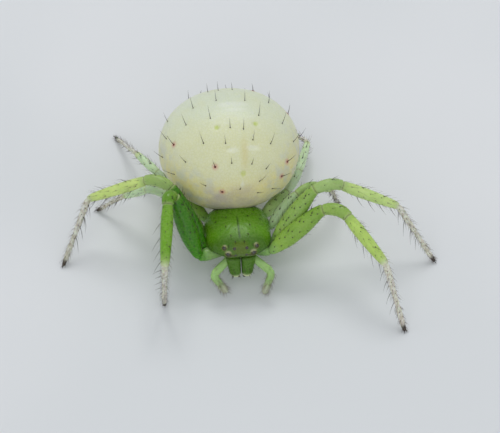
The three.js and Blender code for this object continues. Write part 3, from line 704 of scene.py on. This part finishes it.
def add_palp(mesh, palp):
    s = np.append(np.arange(0, palp.limb.length - 0.01, 0.012), palp.limb.length)
    rings = palp.limb.rings(s, palp.radius(s) * blunt(palp.limb.length - s, 0.07, 0.03), 24)
    tan = smooth(palp.at_tarsus - 0.2, palp.at_tarsus + 0.25, s)
    line = 0.28 * tan + 0.3 * bell(s - palp.at_tarsus, 0.015)
    mesh.tube(rings, by_ring(deep=0.3 * (1 - tan), grey=0.45 * (1 - tan), tan=tan * 0.7, line=line))


# Abdomen


def on_abdomen(back, turn):
    """Points and outward normals by radians back from the front end and radians round."""
    t = -np.cos(back)
    girth = np.maximum(np.sin(back), 0) ** np.where(t < 0, 0.8, 0.9)
    front = ABDOMEN["front"]
    taper = np.where(t < 0, front + (1 - front) * np.maximum(1 + t, 0) ** 0.5, 1)
    squared = lambda v: np.sign(v) * np.abs(v) ** ABDOMEN["square"]
    c, s = squared(np.cos(turn)), squared(np.sin(turn))
    half = np.array([ABDOMEN["width"] / 2, ABDOMEN["length"] / 2, ABDOMEN["above"]])
    x = half[0] * girth * taper * c
    z = np.where(s > 0, ABDOMEN["above"], ABDOMEN["below"]) * girth * s
    place = np.stack([x, half[1] * t, z], -1)
    return ABDOMEN_MIDDLE + place, unit(place / half**2)


def rounded(degrees_back, degrees_round):
    """A point and normal by degrees back and degrees to the animal's right of the midline."""
    return on_abdomen(np.radians(degrees_back), np.radians(MIDLINE + np.asarray(degrees_round, float)))


def patch(points, back, round_, size, soft=0.5, stretch=(1, 1)):
    """A soft-edged mask round a place on the abdomen, size in millimetres."""
    middle, normal = rounded(back, round_)
    across = unit(np.cross([0, 1, 0], normal))
    along = np.cross(normal, across)
    d = points - middle
    flat = ((d @ across) / stretch[0]) ** 2 + ((d @ along) / stretch[1]) ** 2
    return smooth(size, size * (1 - soft), np.sqrt(flat + (d @ normal) ** 2 * 0.3))


def abdomen_bristle_places():
    """Root, normal and length of each bristle, and whether its socket is a large reddish one."""
    rng = np.random.default_rng(5)
    for back, places, usual in ABDOMEN_ROWS:
        for round_ in places:
            point, normal = rounded(back + 5 * (rng.random() - 0.5), round_)
            strong = rng.random() < 0.3 and abs(round_) > 20
            yield point, normal, usual * (0.8 + 0.4 * rng.random()), strong


# Marks of the abdomen: degrees back and round, and for pale ones size, softness and stretch
GREEN_SPOTS = [(80.7, 16), (82.9, -14.5)]
FRONT_SPOT = (31.3, -5.5)
DENTS = [*GREEN_SPOTS, FRONT_SPOT, (58, 9), (58, -13)]
# The first two, wide across the top, are a painted reflection of the light; the others are pale marks of
# the skin
PALE_MARKS_AND_SHEEN = [
    (106, 2, 0.34, 0.6, (2.2, 0.6)), (99, 1, 0.26, 0.7, (2.0, 0.5)), (56, 6, 0.2, 0.7, (1.5, 0.7)),
    (58, -12, 0.22, 0.7, (1.7, 0.7)), (19, -8, 0.14, 0.7, (0.6, 1.4)),
]


def abdomen_looks(x, y, height):
    """The broad colours: cream and gold low and in front, grey at the sides, mauve over the front."""
    lower = smooth(0.75, -0.1, height)
    low_front = smooth(0.62, 0.05, height) * smooth(2.8, 1.0, y)
    return {
        "cream": np.clip(0.25 + 0.75 * smooth(3.6, 1.6, y) + 0.7 * lower, 0, 1),
        "gold": np.clip(0.7 * low_front + 0.5 * lower * smooth(3.8, 2.0, y), 0, 0.8),
        "blue": 0.6 * smooth(0.8, 0.35, height) * smooth(0.5, 1.2, np.abs(x - 0.2)) * smooth(3.9, 2.4, y),
        "mauve": 0.9 * smooth(0.5, 0.1, height) * smooth(1.5, 0.6, np.abs(x)) * smooth(1.6, 0.9, y),
    }


def add_abdomen(mesh, sides=260, steps=190):
    back = (np.pi * (0.004 + 0.992 * np.arange(steps + 1) / steps))[:, None]
    back, turn = np.broadcast_arrays(back, ring_turns(sides))
    rings, normals = on_abdomen(back, turn)
    x, y, z = np.moveaxis(rings, -1, 0)
    looks = abdomen_looks(x, y, (z - ABDOMEN_MIDDLE[2]) / ABDOMEN["above"])
    spots = sum(patch(rings, *place, 0.095, 0.4, (1, 1.15)) for place in GREEN_SPOTS)
    front_spot = patch(rings, *FRONT_SPOT, 0.11, 0.5, (1.1, 1.3))
    heart = patch(rings, 52, -5, 0.42, 0.9, (0.5, 2.1))
    # Pale marks, and a painted reflection across the top of the abdomen
    pale = sum(patch(rings, *mark) for mark in PALE_MARKS_AND_SHEEN)
    halo = 0
    raised = -0.035 * sum(patch(rings, *place, 0.16, 1.0) for place in DENTS)
    for point, _, _, strong in abdomen_bristle_places():
        away = np.linalg.norm(rings - point, axis=-1)
        if strong:
            halo = halo + 0.6 * smooth(0.16, 0.03, away)
        raised = raised + (0.016 if strong else 0.008) * bell(away, 0.05)
    folds = 0.012 * np.sin(9 * back + 1.5 * np.sin(2 * turn)) * smooth(0.2, -0.6, normals[..., 2])
    rings = rings + normals * (raised + folds)[..., None]
    round_spinnerets = np.linalg.norm(rings - (ABDOMEN_MIDDLE + [0, 1.75, -1.1]), axis=-1)
    looks |= {
        "white": np.clip(0.4 * pale, 0, 0.6),
        "heart": 0.4 * heart,
        "spot": np.clip(0.62 * spots + 0.4 * front_spot, 0, 1),
        "halo": np.clip(halo, 0, 0.8),
        "tan": 0.5 * smooth(0.5, 0.2, round_spinnerets),
    }
    mesh.tube(rings, looks, material=1)


def add_pedicel(mesh):
    low, high = PEDICEL["low"], PEDICEL["high"]
    tube = Limb([low, np.mean([low, high], 0), high], [0.1])
    s = np.linspace(0, tube.length, 14)
    mesh.tube(tube.rings(s, np.full(len(s), PEDICEL["radius"]), 28), {"deep": 0.5, "grey": 0.4})


def add_spinnerets(mesh, count=6):
    radius, length, ring, middle, lean = SPINNERET.values()
    girth = profile([[0, radius], [0.7, radius], [1, radius * 0.5]])
    for i in range(count):
        a = 2 * math.pi * (i + 0.5) / count
        across, up = ring * math.cos(a), ring * math.sin(a)
        foot = middle + [across, -0.25, up + 0.2]
        tip = middle + [across * 1.25, length * lean, up * 1.1 - length * 0.5]
        cone = Limb([foot, (foot + tip) / 2, tip], [0.05])
        share = np.linspace(0, 1, 26)
        r = girth(share) * (1 - 0.1 * bell(share - 0.62, 0.04)) * blunt(1 - share, 0.08, 0.04)
        end = smooth(0.45, 0.9, share)[:, None]
        looks = {"tan": 0.6 + 0.3 * end, "grey": 0.3, "dark": 0.35 * smooth(0.9, 1.0, end)}
        mesh.tube(cone.rings(share * cone.length, r, 20), looks)


# Bristles and hairs


class Coat:
    """Thin tapered spikes joined in one mesh, each with a small patch in the map named OFBake."""

    PATCH = 0.003

    def __init__(self, sides, steps):
        self.sides, self.steps = sides, steps
        self.rows = []

    def add(self, roots, normals, lies, lengths, radii, lean, bend, places, sunk=0.03):
        """Spikes from roots along normals, leaning towards lies and bending further, mapped at places."""
        lengths, radii = (np.broadcast_to(v, len(roots)) for v in (lengths, radii))
        out = unit(normals + lies * lean)
        across = unit(np.cross(out, lies) + 1e-6)
        rings = []
        for k in range(self.steps + 1):
            t = k / self.steps
            axis = roots + out * (lengths * t)[:, None] + lies * (lengths * bend * t * t)[:, None]
            if k == 0:
                axis = roots - normals * sunk
            fore = np.cross(across, unit(out + lies * (2 * bend * t)))
            r = radii * (1 - t) ** 0.8 + radii * 0.06
            rings.append(axis[:, None] + circles(across, fore, r, self.sides))
        rings = np.stack(rings, 1)
        above = rings[..., 2].min((1, 2)) > 0.004
        self.rows.append((rings[above], np.asarray(places, float)[above]))

    def one_spike(self, rows, sides):
        """The faces of one spike, and where each of their corners lies in its patch."""
        one, uv = [], []
        step = self.PATCH / rows
        for i in range(rows - 1):
            for j in range(sides):
                k = (j + 1) % sides
                one.append([i * sides + j, (i + 1) * sides + j, (i + 1) * sides + k, i * sides + k])
                left, right = j / sides * self.PATCH, (j + 1) / sides * self.PATCH
                low, high = i * step, (i + 1) * step
                uv.append([(left, low), (left, high), (right, high), (right, low)])
        cap = [(0.5 + 0.4 * math.cos(a), 0.5 + 0.4 * math.sin(a)) for a in ring_turns(sides)]
        one.append(list(range(sides)))
        uv.append([(self.PATCH * u, self.PATCH * v) for u, v in cap])
        one.append([(rows - 1) * sides + j for j in range(sides)][::-1])
        uv.append(uv[-1][::-1])
        return one, uv

    def build(self, name, material):
        rings = np.concatenate([r for r, _ in self.rows])
        places = np.concatenate([p for _, p in self.rows])
        count, rows, sides, _ = rings.shape
        one, uv = self.one_spike(rows, sides)
        faces = [[v + n * rows * sides for v in f] for n in range(count) for f in one]
        made = build_object(name, rings.reshape(-1, 3), faces, [material])
        layer = made.data.uv_layers.new(name="OFBake")
        flat = np.array([p for f in uv for p in f])
        corners = (places[:, None] * (1 - self.PATCH) + flat).reshape(-1, 2)
        layer.uv.foreach_set("vector", corners.astype(np.float32).ravel())
        return made


def strip(index, along, turn):
    """Where a root maps: along its limb one way and round it the other, in a strip for each limb."""
    strips = len(STANCE) + len(PALPS)
    v = (index + 0.05 + 0.9 * (turn / (2 * np.pi) % 1)) / strips
    return np.stack([0.01 + 0.98 * along, v], -1)


def grow(coat, wearer, index, spots, lengths, shape, sunk=0.03, sockets=None, socket=0):
    """Hairs on a leg or palp, clear of the floor, and a dark socket under each where sockets is given."""
    s, turn = spots
    root, out, tangent = wearer.limb.surface(s, turn, wearer.radius(s) * 0.98)
    place = strip(index, s / wearer.limb.length, turn)
    keep = root[:, 2] > 0.03 + 0.2 * lengths
    coat.add(root[keep], out[keep], tangent[keep], lengths[keep], *shape, place[keep], sunk)
    if sockets is not None:
        sockets.append((root[keep], out[keep], socket, place[keep]))


# Thickness, lean and bend of the spines, the dark setae and the pale hairs
SPINE = (0.01, 0.95, 0.35)
SETA = (0.005, 0.9, 0.3)
HAIR_SHAPE = (0.0045, 1.0, 0.5)
PALP_HAIR = (0.0055, 0.9, 0.35)


# Rows on the legs: shares of each piece's length, degrees round it, and length
FRONT_ROWS = {
    "femur": [([0.4, 0.62, 0.85], [60, 120], 0.15)],
    "patella": [([0.6], [90], 0.24)],
    "tibia": [([0.28, 0.5, 0.7, 0.9], [240, 300], 0.4), ([0.3, 0.7], [90], 0.26)],
    "metatarsus": [([0.12, 0.4, 0.66, 0.92], [235, 305], 0.42)],
}
REAR_ROWS = {
    "femur": [([0.5, 0.8], [90], 0.14)],
    "patella": [([0.6], [90], 0.16)],
    "tibia": [([0.35, 0.75], [90], 0.2), ([0.9], [235, 305], 0.2)],
    "metatarsus": [([0.5, 0.92], [235, 305], 0.2)],
}


def leg_bristles(coat, sockets, leg, index):
    rng = np.random.default_rng(100 + index)
    for part, groups in (FRONT_ROWS if leg.front else REAR_ROWS).items():
        for shares, turns, length in groups:
            share, turn = (g.ravel() for g in np.meshgrid(shares, turns, indexing="ij"))
            s = leg.along(part, share) + rng.uniform(-0.03, 0.03, len(share))
            turn = np.radians(turn + rng.uniform(-8, 8, len(turn)))
            lengths = length * rng.uniform(0.85, 1.15, len(s))
            grow(coat, leg, index, (s, turn), lengths, SPINE, sockets=sockets, socket=0.026)


# How many dark setae each piece has, on a front leg and on a rear one
DOTS = {"femur": (54, 22), "patella": (9, 6), "tibia": (36, 20), "metatarsus": (26, 14), "tarsus": (14, 10)}
GOLDEN_ANGLE = 137.5


def leg_dots(coat, sockets, leg, index):
    """Short dark setae in rows over the femora and shins, each in a dark socket."""
    rng = np.random.default_rng(200 + index)
    for part, amounts in DOTS.items():
        amount = amounts[0 if leg.front else 1]
        order = np.arange(amount)
        s = leg.along(part, 0.04 + 0.92 * (order + rng.uniform(0.1, 0.9, amount)) / amount)
        turn = np.radians((order * GOLDEN_ANGLE + rng.uniform(-15, 15, amount)) % 360)
        lengths = rng.uniform(0.1, 0.2, amount) * (1.0 if leg.front else 0.8)
        size = 0.024 if part == "femur" else 0.017
        grow(coat, leg, index, (s, turn), lengths, SETA, sockets=sockets, socket=size)


HAIRS = {"coxa": 14, "femur": 36, "patella": 14, "tibia": 60, "metatarsus": 60, "tarsus": 90}


def leg_hairs(coat, leg, index):
    """Fine pale hairs, dense on the metatarsi and tarsi."""
    rng = np.random.default_rng(300 + index)
    for part, amount in HAIRS.items():
        amount = int(amount * (1 if leg.front else 0.6))
        s = leg.along(part, rng.uniform(0.35 if part == "coxa" else 0.03, 0.98, amount))
        turn = rng.uniform(0, 2 * np.pi, amount)
        lengths = rng.uniform(0.08, 0.26 if part in ("tibia", "metatarsus") else 0.15, amount)
        grow(coat, leg, index, (s, turn), lengths, HAIR_SHAPE, sunk=0.015)


def palp_hairs(coat, palp, index):
    rng = np.random.default_rng(400 + index)
    for low, high, amount, long in ((0.25, 1.0, 50, 0.16), (0.55, 0.99, 120, 0.13)):
        s = palp.limb.length * rng.uniform(low, high, amount)
        turn = rng.uniform(0, 2 * np.pi, amount)
        lengths = rng.uniform(0.6, 1.2, amount) * long
        grow(coat, palp, index, (s, turn), lengths, PALP_HAIR, sunk=0.015)


def build_sockets(name, rows, material):
    """Low domes where bristles root."""
    coat = Coat(sides=7, steps=3)
    for roots, normals, size, places in rows:
        lies = unit(np.cross(normals, [0.31, 0.27, 0.91]))
        across = np.cross(normals, lies)
        rings = []
        for lift, wide in ((-0.6, 1.0), (0.25, 1.0), (0.5, 0.7), (0.62, 0.25)):
            middle = roots[:, None] + normals[:, None] * size * lift
            rings.append(middle + circles(lies, across, np.full(len(roots), size * wide), coat.sides))
        coat.rows.append((np.stack(rings, 1), places))
    return coat.build(name, material)


# Places across and back on the carapace, repeated on both sides
CARAPACE_BRISTLES = [
    [0.32, -0.5], [0.42, -0.1], [0.36, 0.3], [0.75, 0.2], [0.6, 0.6], [0.14, -0.78], [0.42, -0.86],
]
CARAPACE_DOTS = [
    [0.12, 0.62], [0.3, 0.66], [0.5, 0.4], [0.22, 0.45], [0.14, -0.3], [0.6, -0.2], [0.85, 0], [0.8, 0.42],
]


def on_carapace(x, y):
    def height(dx, dy):
        top = crown_height(y + dy) - edge_height(y + dy)
        across = np.abs(x + dx) / half_width(y + dy)
        dome = np.maximum(1 - across ** (2 / DOME_POWER), 0) ** (DOME_POWER / 2)
        return edge_height(y + dy) + top * dome

    step = 0.02
    slope_x = (height(step, 0) - height(-step, 0)) / (2 * step)
    slope_y = (height(0, step) - height(0, -step)) / (2 * step)
    return height(0, 0), slope_x, slope_y


def carapace_bristles(coat, sockets, rng):
    for table, length, radius in ((CARAPACE_BRISTLES, 0.17, 0.013), (CARAPACE_DOTS, 0.09, 0.008)):
        for x, y in table:
            for side in (1, -1):
                x1, y1 = x + rng.uniform(-0.03, 0.03), y + rng.uniform(-0.03, 0.03)
                z, slope_x, slope_y = on_carapace(x1, y1)
                normal = unit([[-slope_x * side, -slope_y, 1.0]])
                lie = unit(np.array([0, -1, 0]) + normal * normal[0, 1])
                root = np.array([[x1 * side, y1, float(z)]])
                place = np.array([[0.5 + x1 * side / 3, 0.5 + y1 / 3]])
                coat.add(root, normal, lie, length * rng.uniform(0.85, 1.2), radius, 0.8, 0.4, place)
                sockets.append((root, normal, radius * 1.5, place))


def chelicera_bristles(coat, rng, tries=16, midline=0.05):
    """Bristles over the front of both chelicerae, away from the midline."""
    down = np.array([[0, 0, -1.0]])
    for side in (1, -1):
        for _ in range(tries):
            t, turn = rng.uniform(0.35, 0.97), rng.uniform(math.pi * 1.05, math.pi * 1.95)
            out = np.array([math.cos(turn), math.sin(turn), 0])
            root = chelicera_middle(t) + out * CHELICERA["half"] * chelicera_girth(t) * 0.98
            if root[0] < midline:
                continue
            root, out = root * [side, 1, 1], out * [side, 1, 1]
            place = np.array([[0.5 + root[0] / 3, 0.04 + 0.1 * t]])
            coat.add(root[None], unit(out)[None], down, rng.uniform(0.08, 0.14), 0.008, 0.9, 0.3, place)


def abdomen_bristles(coat, plain, red):
    for point, normal, length, strong in abdomen_bristle_places():
        lie = unit(np.array([0, 1.0, 0]) - normal * normal[1])
        back = math.acos(np.clip(-(point[1] - ABDOMEN_MIDDLE[1]) / (ABDOMEN["length"] / 2), -1, 1))
        turn = math.atan2(point[2] - ABDOMEN_MIDDLE[2], point[0]) % (2 * math.pi)
        place = np.array([[turn / (2 * math.pi), 0.01 + 0.98 * back / math.pi]])
        radius = 0.014 if strong else 0.011
        coat.add(point[None], normal[None], lie[None], length, radius, 0.75, 0.35, place)
        (red if strong else plain).append((point[None], normal[None], 0.042 if strong else 0.026, place))


def tapered(path, radii, reference, sides):
    """Rings of a small curved spike along a path."""
    heading = unit(np.gradient(path, axis=0))
    across = unit(np.cross(heading, reference))
    return path[:, None] + circles(across, np.cross(across, heading), radii, sides)


def add_claws(mesh, leg):
    """Two small curved claws under the tip of each tarsus."""
    point, tangent, side, _ = leg.limb.read(np.array(leg.limb.length - 0.05))
    ahead = unit(tangent * [1, 1, 0.15])
    sweep = np.linspace(0, 1, 9)
    for spread in (-1, 1):
        root = point + side * spread * 0.025 * leg.girth
        path = root + ahead * (0.12 * sweep)[:, None] + side * spread * (0.03 * sweep)[:, None]
        arch = point[2] + 0.03 * np.sin(np.pi * sweep) - (point[2] - 0.006) * sweep**2
        path[:, 2] = np.maximum(arch, 0.012)
        rings = tapered(path, 0.018 * leg.girth * (1 - sweep) ** 0.7 + 0.0025, [0, 0, 1], 10)
        rings[..., 2] = np.maximum(rings[..., 2], 0.0)
        mesh.tube(rings)


FANG = {"root": [0.15, -1.2, 0.62], "tip": [0.04, -1.16, 0.52], "bow": [0, -0.03, -0.02], "radius": 0.042}


def add_fangs(mesh):
    sweep = np.linspace(0, 1, 14)
    bow = np.array(FANG["bow"]) * np.sin(np.pi * sweep)[:, None]
    for side in (1, -1):
        root, tip = (np.array(FANG[end]) * [side, 1, 1] for end in ("root", "tip"))
        path = root + (tip - root) * sweep[:, None] + bow
        mesh.tube(tapered(path, FANG["radius"] * (1 - sweep) ** 0.7 + 0.005, [0, 1, 0], 14))


def add_eyes(mesh):
    """Balls with their poles to the front and back."""
    forward = ball(25, 36, 0.02)[..., [0, 2, 1]] * [1, -1, 1]
    for _, middle, r in eye_places():
        mesh.tube(middle + forward * r)


# Assembly


def dress(made, replaced=()):
    """Fixes a piece to the one body, in place of the solids that it replaces."""
    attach(made, "root")
    if replaced:
        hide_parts(*replaced)


legs = [Leg(name) for name in STANCE]
palps = [Palp(name) for name in PALPS]
solid_eyes = [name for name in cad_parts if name.startswith("eye_")]
flesh = [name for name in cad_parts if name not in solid_eyes]

skin = Mesh()
for add in (add_cephalothorax, add_chelicerae, add_mouth_lobes):
    add(skin)
for leg in legs:
    add_leg(skin, leg)
for palp in palps:
    add_palp(skin, palp)
for add in (add_abdomen, add_pedicel, add_spinnerets):
    add(skin)
dress(skin.build("skin", [CUTICLE, ABDOMEN_SKIN]), flesh)

eyes = Mesh()
add_eyes(eyes)
dress(eyes.build("eyes", [EYE]), solid_eyes)

claws = Mesh()
for leg in legs:
    add_claws(claws, leg)
add_fangs(claws)
dress(claws.build("claws_and_fangs", [CLAW]))

spines, setae, hairs, head, back = Coat(5, 6), Coat(3, 3), Coat(3, 3), Coat(4, 4), Coat(5, 6)
leg_sockets, head_sockets, plain_sockets, red_sockets = [], [], [], []
for index, leg in enumerate(legs):
    leg_bristles(spines, leg_sockets, leg, index)
    leg_dots(setae, leg_sockets, leg, index)
    leg_hairs(hairs, leg, index)
for index, palp in enumerate(palps):
    palp_hairs(hairs, palp, len(legs) + index)
head_rng = np.random.default_rng(11)
carapace_bristles(head, head_sockets, head_rng)
chelicera_bristles(head, head_rng)
abdomen_bristles(back, plain_sockets, red_sockets)

for coat in [
    spines.build("leg_spines", BRISTLE),
    setae.build("leg_setae", BRISTLE),
    hairs.build("leg_hairs", HAIR),
    build_sockets("leg_sockets", leg_sockets, BRISTLE),
    head.build("head_setae", BRISTLE),
    build_sockets("head_sockets", head_sockets, BRISTLE),
    back.build("abdomen_bristles", BRISTLE),
    build_sockets("abdomen_sockets", plain_sockets, BRISTLE),
    build_sockets("abdomen_red_sockets", red_sockets, REDDISH),
]:
    dress(coat)

# Floor, light and camera


def add_floor():
    edge = 3.0
    data = bpy.data.meshes.new("floor")
    corners = [(-edge, -edge, 0), (edge, -edge, 0), (edge, edge, 0), (-edge, edge, 0)]
    data.from_pydata(corners, [], [(0, 1, 2, 3)])
    paint = Paint("floor", (223, 225, 227), Roughness=0.9)
    paint.lay((217, 220, 222), paint.noise(0.05, 2))
    data.materials.append(paint.finish())
    add_object("floor", data)


def aim(made, away):
    made.rotation_euler = Vector(away).to_track_quat("Z", "Y").to_euler()


def add_light(name, azimuth, elevation, distance, size, watts):
    light = bpy.data.lights.new(name, "AREA")
    light.shape = "RECTANGLE"
    light.size, light.size_y = size
    light.energy = watts
    away = direction(azimuth, elevation)
    made = add_object(name, light)
    made.location = away * distance
    aim(made, away)


def add_world():
    world = bpy.data.worlds.new("studio")
    world.use_nodes = True
    background = world.node_tree.nodes["Background"]
    background.inputs["Color"].default_value = (0.93, 0.96, 1, 1)
    background.inputs["Strength"].default_value = 0.5
    bpy.context.scene.world = world


PHOTO = {"width": 500, "height": 433}
VIEW = {"azimuth": -6, "elevation": 52, "distance": 160, "pixels_per_mm": 29.2}
ANCHOR = {"place": [0, 0.1, 1.45], "pixel": (237.5, 230)}
SENSOR = 36


def add_camera():
    """The photo's view: the anchor's place falls on the anchor's pixel."""
    towards = direction(VIEW["azimuth"], VIEW["elevation"])
    right = direction(VIEW["azimuth"] + 90, 0)
    above = np.cross(towards, right)
    off_right = (PHOTO["width"] / 2 - ANCHOR["pixel"][0]) / VIEW["pixels_per_mm"]
    off_above = (ANCHOR["pixel"][1] - PHOTO["height"] / 2) / VIEW["pixels_per_mm"]
    camera = bpy.data.cameras.new("camera")
    camera.sensor_width = SENSOR
    camera.lens = SENSOR * VIEW["distance"] * VIEW["pixels_per_mm"] / PHOTO["width"]
    camera.clip_start = 0.01
    camera.clip_end = 20
    eye = SHIFT + ANCHOR["place"] + right * off_right + above * off_above + towards * VIEW["distance"]
    made = add_object("camera", camera)
    made.location = eye * MM
    aim(made, towards)
    bpy.context.scene.camera = made


add_floor()
add_light("back_softbox", 174, 54, 0.3, (0.15, 0.11), 0.28)
add_light("front_softbox", -20, 60, 0.35, (0.3, 0.25), 0.16)
add_light("front_fill", -8, 22, 0.4, (0.5, 0.3), 0.37)
add_light("left_fill", 75, 30, 0.4, (0.3, 0.3), 0.1)
add_light("right_fill", -95, 16, 0.4, (0.3, 0.3), 0.13)
add_world()
add_camera()
bpy.context.scene.view_settings.view_transform = "Standard"
